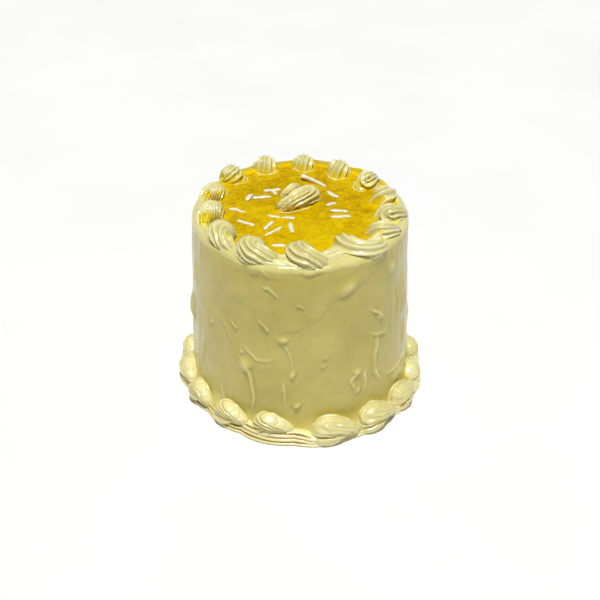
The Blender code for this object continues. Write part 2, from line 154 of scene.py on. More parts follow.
# The swirl is two shells run together, whose tails stay wide and end in fingers. Each row is its
# head's x and y in mm, its heading, bend, size, tail, ribs and how high it stands on the glaze.
SWIRL_SECTIONS = (
    (0, 17.6, 7.0), (24, 18.6, 7.8), (47, 19.0, 8.1), (66, 17.6, 8.1), (88, 14.6, 7.7),
    (112, 12.4, 7.2), (138, 11.2, 6.4), (158, 10.6, 5.2), (176, 10.2, 3.4),
)
SWIRL_LOBES = (
    (8.2, 18.0, 234, -44, 0.95, 1.45, (68, 18, 0.68), -0.4),
    (-2.0, 25.5, 228, -30, 0.66, 0.95, 9, 0.2),
)

# The slivers in the glaze: middle x and y in mm, heading in degrees, length in mm.
SLIVERS = (
    (-36, 19, 71, 12), (-27, 18, 8, 14), (-20, 29, 16, 13), (-44, 0, -26, 14), (-37, -17, -28, 14),
    (-18, -8, -16, 11), (-8, -10, -5, 10), (-21, -21, 64, 13), (-18, -28, 43, 16), (-6, -23, -82, 13),
    (27, -2, -4, 13), (28, -8, 1, 15), (23, 23, -54, 13), (22, 9, 40, 9), (-14, -46, -6, 10),
    (-18, 25, -66, 7), (10, 40.5, -34, 22),
)
# The last one is thicker, with one end lifted by this much.
TALL_SLIVER = len(SLIVERS) - 1
TALL_LIFT = 3.4

# The foot's skirt: where its edge runs wider or narrower, as azimuth, half stretch and mm.
SKIRT_RADIUS = 91.8
SKIRT_SWELLS = ((-84, 24, 1.5), (-142, 22, -3.2), (-50, 9, -1.0), (-24, 12, 1.2), (90, 60, -0.6))
SKIRT_SCALLOP = 2.2
SCALLOP_POWER = 0.8
SKIRT_SIDES = 720

# Columns of the wall: closer together over the front, to this far from its middle on each side.
FRONT_SPREAD = 75
FRONT_SIDES = 400
BACK_SIDES = 116
WALL_ROWS = 168
EDGE_ROWS = 5
RIM_ROWS = 14
DISH_ROWS = 2
# How much of the way over the rim its rounded edge takes.
EDGE_SHARE = 0.10
# How far the wall runs out at its foot, in mm.
FOOT_FLARE = 4.0
# How many columns to each side the wall's hollows are measured against, and how deep a full one is.
BESIDE = 6
FULL_HOLLOW = 0.9

# Marks of the palette knife where the photo shows the wall: each is a line of azimuth and height,
# how far its relief runs out to the left and to the right of the line's way, and its lift, in mm.
WALL_LINES = (
    (((-109, 119), (-106, 120), (-104, 117), (-100, 112)), 1.6, 0.9, 1.0),
    (((-92, 108), (-90, 108), (-88, 105)), 1.2, 0.8, 0.8),
    (((-112, 94), (-108, 89), (-105, 85)), 1.6, 0.8, 1.1),
    (((-128, 87), (-125, 83), (-122, 81)), 1.6, 0.9, 1.0),
    (((-135, 85), (-130, 78), (-127, 71), (-124, 64)), 2.6, 1.2, 0.45),
    (((-99, 78), (-96, 70), (-95, 62), (-94, 56)), 1.2, 1.0, 0.8),
    (((-119, 69), (-115, 64), (-111, 61), (-106, 62), (-103, 65)), 2.2, 1.0, 0.55),
    (((-98, 46), (-98, 36), (-97, 24)), 1.0, 1.6, 0.6),
    (((-121, 60), (-117, 53), (-114, 44), (-113.5, 34), (-115, 14)), 1.0, 3.0, 1.3),
    (((-44, 30), (-48, 40), (-49, 50), (-48, 60), (-47, 70)), 4.5, 0.8, 1.3),
    (((-52, 74), (-46, 71), (-40, 69)), 1.2, 1.8, 0.9),
    (((-39, 30), (-31, 31), (-22, 35)), 2.2, 1.2, 1.1),
    (((-99, 86), (-93, 88), (-87, 92)), 9.0, 1.6, 0.25),
    (((-86, 94), (-81, 99), (-77, 106)), 14.0, 3.0, 0.4),
    (((-74, 110), (-69, 114), (-60, 117), (-53, 121)), 10.0, 2.4, 0.45),
    (((-92, 131), (-80, 133), (-70, 134), (-62, 133)), 1.6, 2.0, 0.9),
    (((-110, 133), (-105, 129)), 1.2, 1.0, 0.7),
    (((-52, 94), (-47, 88), (-43, 82)), 2.0, 1.2, 0.9),
    (((-149, 56), (-150, 44), (-151, 32)), 2.0, 1.0, 0.9),
    (((-30, 97), (-28, 84), (-27, 70)), 2.2, 1.0, 0.9),
    (((-60, 50), (-64, 40), (-62, 30)), 3.0, 1.0, 0.8),
    (((-134, 28), (-132, 14)), 1.6, 1.0, 0.7),
    (((-56, 46), (-55, 34), (-56, 26)), 1.6, 2.4, 0.7),
)
# Dabs of icing on it: azimuth, height, half width, half height, tilt in degrees and lift.
WALL_DABS = (
    (-98.5, 80.5, 4.2, 2.0, 14, 1.7), (-94, 53, 2.6, 3.6, -20, 1.9), (-91, 26, 3.2, 1.9, 18, 1.8),
    (-118.5, 54, 5.0, 5.5, -30, 1.7), (-120.5, 64, 2.2, 1.8, 0, 0.9), (-61, 48, 4.6, 2.6, -18, 1.3),
    (-60, 31, 2.6, 3.8, -12, 1.1), (-79, 58, 2.4, 1.2, 0, 0.7), (-78, 65, 2.0, 1.0, 0, 0.6),
    (-31, 25, 8.5, 7.5, -30, 1.7), (-46, 86, 3.4, 3.0, 0, 1.1), (-141, 76, 2.6, 2.0, 20, 0.9),
    (-66, 118, 9.0, 4.5, 30, 1.3), (-168, 66, 6.0, 9.0, 0, 1.6), (-36, 118, 5.0, 4.0, 20, 1.2),
    (-160, 100, 6.0, 8.0, 0, 1.0), (-104, 50, 12, 16, 0, 0.5), (-76, 74, 14, 12, 20, 0.5),
    (-19, 52, 6.0, 12, 0, 1.1), (-124, 108, 12, 7, 20, 0.6),
)
# Strokes on the sides that the photo doesn't show: azimuth, height, length, width, tilt and lift.
WALL_STROKES = (
    (-167, 66, 30, 12, 12, 1.7), (-20, 84, 40, 16, -4, 1.1), (2, 50, 34, 16, 12, 1.3),
    (20, 92, 30, 16, 50, 1.1), (38, 50, 36, 16, -16, 1.3), (60, 88, 34, 18, 38, 1.1),
    (82, 56, 40, 16, -10, 1.3), (104, 92, 30, 16, 62, 1.1), (126, 50, 38, 14, 18, 1.3),
    (148, 88, 34, 16, -34, 1.1), (172, 104, 30, 14, 40, 1.0), (8, 106, 24, 10, -50, 0.9),
    (48, 70, 26, 9, -30, 0.9), (72, 108, 24, 9, 24, 0.8), (94, 34, 26, 9, 20, 0.9),
    (114, 68, 26, 9, -40, 0.9), (138, 112, 24, 9, 60, 0.8), (160, 48, 28, 9, 6, 0.9),
)
MOST_RELIEF = 3.0
# Where marks stand out this far in mm, their crests are paler: partly paler icing, partly a painted
# highlight.
PALE_LINE = 0.5
PALE_DAB = 0.8


def ease(value):
    value = np.clip(value, 0.0, 1.0)
    return value * value * (3 - 2 * value)


def lattice(cell, seed):
    """A steady random number between -1 and 1 for each whole-numbered cell."""
    mixed = cell[..., 0] * 73856093 ^ cell[..., 1] * 19349663 ^ cell[..., 2] * 83492791
    mixed = (mixed ^ (seed * 2654435 + 97531)) & 0xFFFFFFFF
    mixed = ((mixed ^ (mixed >> 15)) * 2246822519) & 0xFFFFFFFF
    mixed = ((mixed ^ (mixed >> 13)) * 3266489917) & 0xFFFFFFFF
    return ((mixed ^ (mixed >> 16)) & 0xFFFF) / 32767.5 - 1


def noise(points, size, seed):
    """Smooth noise between -1 and 1 whose lumps are about size mm apart."""
    place = np.asarray(points, float) / size
    cell = np.floor(place).astype(np.int64)
    part = place - cell
    part = part * part * (3 - 2 * part)
    total = 0.0
    for x in (0, 1):
        for y in (0, 1):
            for z in (0, 1):
                corner = np.array((x, y, z))
                weight = np.prod(np.where(corner, part, 1 - part), axis=-1)
                total = total + weight * lattice(cell + corner, seed)
    return total


def rough(points, size, seed, layers=3):
    """Noise with finer layers on top, each half as large and half as high."""
    return sum(noise(points, size / 2**k, seed + k) / 2**k for k in range(layers))


def smooth_table(rows, at):
    """Columns of a table read smoothly between its rows, whose first column is the place."""
    rows = np.array(rows, float)
    places = rows[:, 0]
    at = np.clip(at, places[0], places[-1])
    k = np.clip(np.searchsorted(places, at, "right") - 1, 0, len(places) - 2)
    step = places[k + 1] - places[k]
    t = (at - places[k]) / step
    found = []
    for column in rows.T[1:]:
        slope = np.gradient(column, places)
        a, b = column[k], column[k + 1]
        c, d = slope[k] * step, slope[k + 1] * step
        found.append(
            a * (2 * t**3 - 3 * t**2 + 1) + b * (3 * t**2 - 2 * t**3)
            + c * (t**3 - 2 * t**2 + t) + d * (t**3 - t**2)
        )
    return found


def turn_gap(a, b):
    """The smaller turn from b to a, in degrees, with its sign."""
    return (a - b + 180) % 360 - 180


def within(azimuth, at, half, fade):
    """1 near a place round the cake, which fades to 0 at that many degrees from it."""
    return ease((half - np.abs(turn_gap(azimuth, at))) / fade)


def ring_points(radius, turn, height):
    """Points round the middle, for turns in radians."""
    places = np.broadcast_arrays(radius * np.cos(turn), radius * np.sin(turn), height)
    return np.stack(places, axis=-1)


def grid_normals(grid):
    """Unit normals of a grid of points that closes on itself along its second side."""
    up = np.gradient(grid, axis=0)
    wide = np.concatenate((grid[:, -1:], grid, grid[:, :1]), axis=1)
    along = (wide[:, 2:] - wide[:, :-2]) / 2
    normals = np.cross(along, up)
    length = np.linalg.norm(normals, axis=2, keepdims=True)
    return normals / np.maximum(length, 1e-9)


def grid_faces(rows, sides, first=0):
    """Quads between neighbouring rows of a grid that closes on itself."""
    i = np.arange(sides)
    j = (i + 1) % sides
    faces = []
    for row in range(rows - 1):
        low = first + row * sides
        quads = np.stack((low + i, low + j, low + sides + j, low + sides + i), axis=1)
        faces += quads.tolist()
    return faces


def fan_faces(first, sides, middle, flip=False):
    """Triangles from a row of points to one in its middle."""
    i = np.arange(sides)
    j = (i + 1) % sides
    order = (first + j, first + i) if flip else (first + i, first + j)
    return np.stack((*order, np.full(sides, middle)), axis=1).tolist()


def closed_grid(grid):
    """Points and faces of a grid whose first and last rows are closed by triangles."""
    rows, sides, _ = grid.shape
    points = np.concatenate((grid.reshape(-1, 3), [grid[0].mean(axis=0), grid[-1].mean(axis=0)]))
    faces = grid_faces(rows, sides)
    faces += fan_faces(0, sides, rows * sides, flip=True)
    faces += fan_faces((rows - 1) * sides, sides, rows * sides + 1)
    return points, faces


def grid_values(values):
    """A grid's values with those of the two closing points."""
    return np.concatenate((values.reshape(-1), [values[0].mean(), values[-1].mean()]))


def add_piece(name, points, faces, material, slot, stands_for=(), **values):
    """A smooth mesh piece on the one body. Points are in mm, and values are one number a point."""
    mesh = bpy.data.meshes.new(name)
    mesh.from_pydata((np.asarray(points) * MM).tolist(), [], faces)
    for key, numbers in values.items():
        made = mesh.attributes.new(key, "FLOAT", "POINT")
        made.data.foreach_set("value", np.asarray(numbers, np.float32))
    mesh.materials.append(material)
    mesh.shade_smooth()
    piece = bpy.data.objects.new(name, mesh)
    bpy.context.scene.collection.objects.link(piece)
    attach(piece, "root")
    if stands_for:
        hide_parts(*stands_for)
    return piece


class Parts:
    """Closed grids of points that are joined into one piece."""

    def __init__(self):
        self.points = []
        self.faces = []
        self.values = {}

    def add(self, grid, **values):
        """Adds a grid, with each value as a grid too, or as one number for all its points."""
        points, faces = closed_grid(grid)
        first = sum(len(others) for others in self.points)
        self.points.append(points)
        self.faces += [[i + first for i in face] for face in faces]
        for key, numbers in values.items():
            numbers = grid_values(np.broadcast_to(numbers, grid.shape[:2]))
            self.values.setdefault(key, []).append(numbers)

    def make(self, name, material, slot, stands_for):
        points = np.concatenate(self.points)
        values = {key: np.concatenate(numbers) for key, numbers in self.values.items()}
        add_piece(name, points, self.faces, material, slot, stands_for, **values)


# Materials, whose colours are linear red, green and blue.

ICING_DARK = (0.54, 0.465, 0.110)
ICING_LIGHT = (0.655, 0.568, 0.162)
ICING_STREAK = (0.68, 0.62, 0.22)
# A warmer yellow: painted bounce light near the foot, painted shade under the rim, and random patches.
ICING_WARM_BOUNCE_AND_SHADE = (0.60, 0.47, 0.045)
# Painted shade in the wall's hollows.
ICING_HOLLOW_SHADE = (0.46, 0.36, 0.05)
# Paler: on the marks' crests partly paler icing and partly a painted highlight, on the flared foot a
# painted bounce light, and on the rim pale icing lifted by painted light where it lies in shade.
ICING_PALE_AND_HIGHLIGHT = (0.86, 0.79, 0.34)
# Glaze over the rim, in a colour painted brighter where the rim slopes away from the light.
WET_RIM_PAINTED_BRIGHTER = (0.95, 0.80, 0.04)
PIPING_DARK = (0.87, 0.81, 0.39)
PIPING_LIGHT = (0.93, 0.88, 0.49)
# Painted shade in the grooves of the upper shells, the lower ones and the swirl.
UPPER_GROOVE_SHADE = (0.60, 0.52, 0.15)
LOWER_GROOVE_SHADE = (0.52, 0.42, 0.07)
SWIRL_GROOVE_SHADE = (0.70, 0.58, 0.15)
TAN_STAIN = (0.52, 0.27, 0.05)
GLAZE_FILM = (0.80, 0.62, 0.008)
GLAZE_STOPS = (
    (0.36, (0.46, 0.285, 0.0)), (0.47, (0.64, 0.415, 0.0)), (0.56, (0.73, 0.50, 0.0)),
    (0.74, (0.84, 0.62, 0.0)),
)
SLIVER_DARK = (0.82, 0.79, 0.60)
SLIVER_LIGHT = (0.93, 0.91, 0.80)
SLIVER_FILM = (0.84, 0.68, 0.05)
FLOOR_DARK = (0.93, 0.93, 0.925)
FLOOR_LIGHT = (0.955, 0.955, 0.95)


class Nodes:
    """Short calls for building one material's nodes."""

    def __init__(self, name):
        self.material = bpy.data.materials.new(name)
        self.material.use_nodes = True
        self.tree = self.material.node_tree
        self.shader = self.tree.nodes["Principled BSDF"]
        self.coordinates = self.tree.nodes.new("ShaderNodeTexCoord").outputs["Object"]

    def put(self, kind, inputs=None, **settings):
        node = self.tree.nodes.new(kind)
        for key, value in settings.items():
            setattr(node, key, value)
        for key, value in (inputs or {}).items():
            socket = node.inputs[key]
            if isinstance(value, bpy.types.NodeSocket):
                self.tree.links.new(value, socket)
            else:
                socket.default_value = value
        return node

    def stretched(self, scale):
        mapped = self.put("ShaderNodeMapping", {"Vector": self.coordinates, "Scale": scale})
        return mapped.outputs["Vector"]

    def noise(self, scale, detail=3.0, roughness=0.5, distortion=0.0, vector=None):
        inputs = {
            "Vector": vector or self.coordinates, "Scale": scale, "Detail": detail,
            "Roughness": roughness, "Distortion": distortion,
        }
        return self.put("ShaderNodeTexNoise", inputs).outputs["Fac"]

    def ramp(self, value, stops):
        node = self.put("ShaderNodeValToRGB", {"Fac": value})
        steps = node.color_ramp.elements
        while len(steps) < len(stops):
            steps.new(0.5)
        for step, (place, colour) in zip(steps, stops):
            step.position = place
            step.color = (*colour, 1)
        return node.outputs["Color"]

    def span(self, value, low, high, to_low=0.0, to_high=1.0):
        inputs = {
            "Value": value, "From Min": low, "From Max": high, "To Min": to_low, "To Max": to_high,
        }
        return self.put("ShaderNodeMapRange", inputs).outputs["Result"]

    def attribute(self, name):
        return self.put("ShaderNodeAttribute", attribute_name=name).outputs["Fac"]

    def sum(self, a, b, operation="ADD"):
        return self.put("ShaderNodeMath", {0: a, 1: b}, operation=operation).outputs["Value"]

    def mix(self, factor, below, colour):
        inputs = {"Factor": factor, 6: below, 7: (*colour, 1)}
        return self.put("ShaderNodeMix", inputs, data_type="RGBA").outputs[2]

    def bump(self, height, strength, distance, normal=None):
        inputs = {"Height": height, "Strength": strength, "Distance": distance}
        if normal:
            inputs["Normal"] = normal
        return self.put("ShaderNodeBump", inputs).outputs["Normal"]

    def finish(self, colour, roughness, normal, **constants):
        self.tree.links.new(colour, self.shader.inputs["Base Color"])
        self.tree.links.new(roughness, self.shader.inputs["Roughness"])
        self.tree.links.new(normal, self.shader.inputs["Normal"])
        for key, value in constants.items():
            self.shader.inputs[key.replace("_", " ")].default_value = value
        return self.material


def icing_material():
    """The wall: thick glossy icing, faintly streaked the way the knife went."""
    n = Nodes("wall_icing")
    broad = n.noise(22, 3, 0.5, 0.4)
    patches = n.noise(75, 4, 0.6, 0.5)
    streaks = n.noise(160, 4, 0.55, 0.2, n.stretched((1, 1, 0.16)))
    fine = n.noise(900, 3, 0.6)
    drawn = n.attribute("drawn")
    place = n.sum(n.sum(broad, 0.6, "MULTIPLY"), n.sum(patches, 0.4, "MULTIPLY"))
    colour = n.ramp(place, ((0.34, ICING_DARK), (0.64, ICING_LIGHT)))
    pale = n.sum(n.span(streaks, 0.50, 0.72, 0.0, 0.16), drawn, "MULTIPLY")
    colour = n.mix(pale, colour, ICING_STREAK)
    # Warmer yellow: painted bounce light near the foot, painted shade under the rim, and random
    # patches.
    colour = n.mix(n.attribute("warm"), colour, ICING_WARM_BOUNCE_AND_SHADE)
    # Painted shade: darker in the wall's hollows.
    colour = n.mix(n.sum(n.attribute("hollow"), 0.75, "MULTIPLY"), colour, ICING_HOLLOW_SHADE)
    # Paler: painted highlights on the marks' crests, painted bounce light on the flared foot, and pale
    # icing over the rim lifted by painted light.
    colour = n.mix(n.attribute("crest"), colour, ICING_PALE_AND_HIGHLIGHT)
    # Glaze over the rim, painted brighter where the rim slopes away from the light.
    colour = n.mix(n.attribute("wet"), colour, WET_RIM_PAINTED_BRIGHTER)
    roughness = n.span(patches, 0.3, 0.7, 0.22, 0.36)
    grain = n.sum(n.sum(streaks, drawn, "MULTIPLY"), n.sum(patches, 0.8, "MULTIPLY"))
    normal = n.bump(grain, 0.30, 0.0007)
    normal = n.bump(fine, 0.12, 0.0003, normal)
    return n.finish(
        colour, roughness, normal, Specular_IOR_Level=0.3, Coat_Weight=0.32, Coat_Roughness=0.08,
        Subsurface_Weight=0.08, Subsurface_Scale=0.003,
    )


def piping_material(name, deep, stain=False):
    """Piped icing: of the deep colour in its grooves, a painted shade that leaves its crests
    paler, with glaze where it has run in."""
    n = Nodes(name)
    broad = n.noise(60, 3, 0.5, 0.3)
    fine = n.noise(1100, 3, 0.6)
    colour = n.ramp(broad, ((0.3, PIPING_DARK), (0.7, PIPING_LIGHT)))
    # Painted shade: the deep colour darkens the grooves.
    colour = n.mix(n.sum(n.attribute("hollow"), 0.85, "MULTIPLY"), colour, deep)
    if stain:
        colour = n.mix(n.attribute("stain"), colour, TAN_STAIN)
    gel = n.attribute("gel")
    colour = n.mix(gel, colour, GLAZE_FILM)
    worn = n.span(n.noise(240, 3), 0.3, 0.7, 0.26, 0.4)
    roughness = n.sum(worn, n.span(gel, 0.0, 1.0, 0.0, -0.16))
    normal = n.bump(n.noise(420, 3, 0.55), 0.18, 0.0005)
    normal = n.bump(fine, 0.10, 0.0003, normal)
    return n.finish(
        colour, roughness, normal, Specular_IOR_Level=0.45, Coat_Weight=0.55, Coat_Roughness=0.10,
        Subsurface_Weight=0.10, Subsurface_Scale=0.003,
    )


def glaze_material():
    """Lemon glaze: golden, clouded with darker and brighter places, and very glossy."""
    n = Nodes("lemon_glaze_gel")
    clouds = n.noise(70, 5, 0.62, 0.6)
    grains = n.noise(330, 4, 0.62, 0.9)
    thin = n.attribute("thin")
    place = n.sum(n.sum(clouds, 0.4, "MULTIPLY"), n.sum(grains, 0.6, "MULTIPLY"))
    # The thin attribute: lighter along the rim and beside the shells, darker to the back and the
    # sides, with a painted shadow round the swirl.
    place = n.sum(place, n.sum(thin, 0.11, "MULTIPLY"))
    colour = n.ramp(place, GLAZE_STOPS)
    roughness = n.span(grains, 0.3, 0.7, 0.10, 0.22)
    normal = n.bump(n.noise(330, 3, 0.5, 0.5), 0.3, 0.0006)
    return n.finish(
        colour, roughness, normal, Specular_IOR_Level=0.07, Coat_Weight=0.06, Coat_Roughness=0.05,
        Subsurface_Weight=0.05, Subsurface_Scale=0.002,
    )


def sliver_material():
    """White slivers with glaze along their feet."""
    n = Nodes("white_sliver")
    grain = n.noise(420, 4, 0.6)
    colour = n.ramp(grain, ((0.3, SLIVER_DARK), (0.65, SLIVER_LIGHT)))
    colour = n.mix(n.attribute("gel"), colour, SLIVER_FILM)
    roughness = n.span(grain, 0.3, 0.7, 0.3, 0.45)
    normal = n.bump(grain, 0.3, 0.0004)
    return n.finish(colour, roughness, normal, Coat_Weight=0.3, Coat_Roughness=0.12)


def floor_material():
    n = Nodes("pale_floor")
    grain = n.noise(6, 3)
    colour = n.ramp(grain, ((0.3, FLOOR_DARK), (0.7, FLOOR_LIGHT)))
    roughness = n.span(grain, 0.3, 0.7, 0.55, 0.65)
    normal = n.bump(n.noise(500, 2), 0.02, 0.0005)
    return n.finish(colour, roughness, normal)


# The drum.


def wall_radius(height):
    return FOOT_RADIUS + (TOP_RADIUS - FOOT_RADIUS) * height / DRUM_HEIGHT


def line_relief(azimuth, height, line, left, right, lift):
    """A ridge along a line on the wall, with a slope of its own on each side and faded ends."""
    nearest = np.full(azimuth.shape, 1e9)
    relief = np.zeros(azimuth.shape)
    middle = line[len(line) // 2]
    scale = math.radians(1) * wall_radius(middle[1])
    x = turn_gap(azimuth, middle[0]) * scale
    y = height - middle[1]
    spots = [((a - middle[0]) * scale, h - middle[1]) for a, h in line]
    lengths = [math.dist(p, q) for p, q in zip(spots, spots[1:])]
    total = sum(lengths)
    done = 0.0
    for (px, py), (qx, qy), length in zip(spots, spots[1:], lengths):
        ux, uy = (qx - px) / length, (qy - py) / length
        along = np.clip((x - px) * ux + (y - py) * uy, 0, length)
        away = np.hypot(x - px - ux * along, y - py - uy * along)
        side = ux * (y - py) - uy * (x - px)
        reach = np.where(side > 0, left, right)
        share = (done + along) / total
        ends = ease(share * 5) * ease((1 - share) * 4)
        value = lift * (1 - ease(away / reach)) ** 1.3 * (0.25 + 0.75 * ends)
        closer = away < nearest
        relief = np.where(closer, value, relief)
        nearest = np.minimum(nearest, away)
        done += length
    return relief


def on_wall(azimuth, height, at, middle, tilt):
    """Places on the wall in mm across and up from a spot, turned by a tilt in degrees."""
    x = turn_gap(azimuth, at) * math.radians(1) * wall_radius(middle)
    y = height - middle
    turn = math.radians(tilt)
    across = x * math.cos(turn) + y * math.sin(turn)
    return across, y * math.cos(turn) - x * math.sin(turn)


def dab_relief(azimuth, height, dab):
    """A rounded dab of icing."""
    at, middle, wide, tall, tilt, lift = dab
    across, up = on_wall(azimuth, height, at, middle, tilt)
    return lift * (1 - ease(np.hypot(across / wide, up / tall) / 1.25))


def stroke_relief(azimuth, height, stroke):
    """A stroke of the knife: a ramp across it that ends in a step along its leading edge."""
    at, middle, length, width, tilt, lift = stroke
    across, along = on_wall(azimuth, height, at, middle, tilt)
    across = across / width
    end = 1 - ease(np.abs(along) / (length / 2))
    ramp = np.where(across < 0, ease(across + 1), 1 - ease(across * 6))
    return lift * end * ramp


def wavered(azimuth, height):
    """Points on the wall, and their azimuths and heights with the waver of the marks."""
    ring = ring_points(78, np.radians(azimuth), height)
    return ring, azimuth + 0.9 * noise(ring, 7, 41), height + 0.9 * noise(ring, 7, 43)


def wall_pale_and_highlight(azimuth, height):
    """Where the narrow marks stand out, from 0 to 1, to be painted paler: partly paler icing, partly a
    painted highlight.
    """
    ring, aside, level = wavered(azimuth, height)
    total = np.zeros(azimuth.shape)
    for line, left, right, lift in WALL_LINES:
        if lift > PALE_LINE:
            near = line_relief(aside, level, line, left * 0.8, right * 0.8, 1)
            total = np.maximum(total, near)
    for at, middle, wide, tall, tilt, lift in WALL_DABS:
        if lift > PALE_DAB:
            near = dab_relief(aside, level, (at, middle, wide * 0.8, tall * 0.8, tilt, 1))
            total = np.maximum(total, 0.7 * near)
    return total * (0.8 + 0.5 * noise(ring, 5, 47))


def wall_relief(azimuth, height):
    """How far the icing stands out from the plain drum, in mm."""
    ring, aside, level = wavered(azimuth, height)
    total = np.zeros(azimuth.shape)
    for line, left, right, lift in WALL_LINES:
        total = total + line_relief(aside, level, line, left, right, lift)
    for dab in WALL_DABS:
        total = total + dab_relief(aside, level, dab)
    for stroke in WALL_STROKES:
        total = total + 1.3 * stroke_relief(aside, level, stroke)
    total = total * (1 + 0.45 * noise(ring, 9, 45)) * 1.6
    total = MOST_RELIEF * (1 - np.exp(-total / MOST_RELIEF))
    total = total + 0.45 * rough(ring, 26, 11) + 0.12 * rough(ring, 7, 15)
    # Upright marks where the knife was drawn up the side, hardly any at the front.
    stretched = ring * np.array((1, 1, 0.14))
    uprights = 0.06 + 0.94 * ease((np.abs(turn_gap(azimuth, FRONT)) - 44) / 18)
    return total + uprights * 0.30 * rough(stretched, 5.0, 21, 2)


def rim_relief(azimuth, share):
    """How far the rim's top stands up between the wall and the glaze: low lumps and folds at the
    front, and a higher ridge round the back."""
    ring = ring_points(70, np.radians(azimuth), share * 8)
    front = within(azimuth, FRONT, 80, 80)
    crown = np.sin(np.pi * np.clip(share, 0, 1)) ** 0.8
    folds = np.abs(np.sin(np.pi * (2.6 * share + 0.5 * noise(ring, 12, 37))))
    behind = 3.0 * (1 - front) * (1 + 0.5 * noise(ring, 9, 39))
    return crown * (0.35 + behind + front * (0.5 + 0.9 * folds)) + 0.35 * crown * rough(ring, 7, 31)


def wall_azimuths():
    """The wall's columns in degrees, close together over the front."""
    front = FRONT - FRONT_SPREAD + np.arange(FRONT_SIDES) * 2 * FRONT_SPREAD / FRONT_SIDES
    back = FRONT + FRONT_SPREAD + np.arange(BACK_SIDES) * (360 - 2 * FRONT_SPREAD) / BACK_SIDES
    return np.concatenate((front, back))


def wall_warmth(ring, height):
    """How much warmer the icing's colour is at a height: near the foot, a painted bounce light from
    the shells, near the top, a painted shade under the rim, and in random patches.
    """
    place = ring + np.array((0, 0, height))
    glow = ease((17 + 5 * noise(place, 9, 61) - height) / 11)
    glow = glow + 0.35 * ease(noise(place, 17, 63) * 2 - 0.3)
    glow = glow + 0.4 * ease((height - 112 + 8 * noise(place, 14, 67)) / 14)
    return np.clip(glow, 0, 1) * 0.72


def wall_hollows(grid):
    """How far each point of the side lies behind the ones beside it, from 0 to 1, for the painted
    shade in its hollows.
    """
    found = np.zeros(grid.shape[:2])
    for k in range(WALL_ROWS):
        relief = np.hypot(grid[k, :, 0], grid[k, :, 1]) - wall_radius(grid[k, 0, 2])
        wide = np.concatenate((relief[-BESIDE:], relief, relief[:BESIDE]))
        near = np.convolve(wide, np.ones(2 * BESIDE + 1) / (2 * BESIDE + 1), "valid")
        found[k] = np.clip((near - relief) / FULL_HOLLOW, 0, 1)
    return found


def make_wall():
    azimuth = wall_azimuths()
    turn = np.radians(azimuth)
    sides = len(turn)
    round_low = DRUM_HEIGHT - EDGE_ROUND
    centre = wall_radius(round_low) - EDGE_ROUND
    ring = ring_points(76, turn, 0)
    # The rim's lumps, which are there at the front alone.
    lumps = 0.2 + 0.9 * rough(ring, 14, 35) + 0.45 * noise(ring, 5, 38)
    front = within(azimuth, FRONT, 78, 30)
    rows = []
    crests = []
    warms = []

    for height in round_low * np.arange(WALL_ROWS) / (WALL_ROWS - 1):
        level = np.full(sides, height)
        near_rim = ease((height - 126 - 2 * rough(ring, 14, 33)) / 4)
        # The icing runs out into the border at the foot.
        flare = ease((18 + 5 * noise(ring, 11, 69) - height) / 15) ** 1.5
        out = wall_relief(azimuth, level) + near_rim * lumps * front + FOOT_FLARE * flare
        rows.append(ring_points(wall_radius(height) + out, turn, height))
        # Paler over the flared foot, a painted bounce light, and a little near the front of the rim,
        # pale icing.
        crests.append(np.maximum(wall_pale_and_highlight(azimuth, level), 0.12 * near_rim * front + 0.7 * flare))
        warms.append(wall_warmth(ring, height))

    for k in range(1, EDGE_ROWS + 1):
        tilt = math.radians(90 * k / EDGE_ROWS)
        height = round_low + EDGE_ROUND * math.sin(tilt)
        out = wall_relief(azimuth, np.full(sides, height))
        reach = EDGE_ROUND + (out + lumps * front) * math.cos(tilt)
        up = rim_relief(azimuth, np.full(sides, EDGE_SHARE * k / EDGE_ROWS))
        up = up + 0.5 * lumps * front * math.sin(tilt)
        rows.append(ring_points(centre + reach * math.cos(tilt), turn, height + up))

    outer = rows[-1]
    inner = ring_points(DISH_RADIUS, turn, DRUM_HEIGHT) + (0, DISH_BACK, 0)
    for k in range(1, RIM_ROWS + 1):
        share = k / RIM_ROWS
        row = outer * (1 - share) + inner * share
        up = rim_relief(azimuth, np.full(sides, EDGE_SHARE + (1 - EDGE_SHARE) * share))
        row[:, 2] = DRUM_HEIGHT + up + 0.5 * lumps * front * (1 - share)
        rows.append(row)

    for k in range(1, DISH_ROWS + 1):
        share = k / DISH_ROWS
        height = DRUM_HEIGHT - (DRUM_HEIGHT - DISH_FLOOR) * share
        rows.append(ring_points(DISH_RADIUS - DISH_SLOPE * share, turn, height) + (0, DISH_BACK, 0))

    grid = np.array(rows)
    over = len(rows) - WALL_ROWS
    # Over the rim the icing is pale, lifted by painted light where its inner side lies in shade, most
    # at the back.
    crests = np.array(crests + [0.9 - 0.35 * front] * over)
    warms = np.array(warms + [np.zeros(sides)] * over)
    # Glaze lies over the inner side of the rim, further out at the back.
    shares = np.clip(np.arange(len(rows)) - WALL_ROWS - EDGE_ROWS, -1, RIM_ROWS)[:, None] / RIM_ROWS
    spread = 0.82 - 0.42 * (1 - front) + 0.5 * noise(ring, 8, 65) * (1 - 0.6 * front)
    wet = ease((shares - spread) / 0.12) * (shares > 0)
    # The knife's streaks show least at the front.
    drawn = 0.12 + 0.88 * ease((np.abs(turn_gap(azimuth, FRONT)) - 40) / 20)
    parts = Parts()
    parts.add(
        grid, hollow=wall_hollows(grid), drawn=drawn, crest=np.clip(crests, 0, 1), warm=warms, wet=wet
    )
    parts.make("drum_icing", icing_material(), "icing", ["iced_cake"])


# The shells.


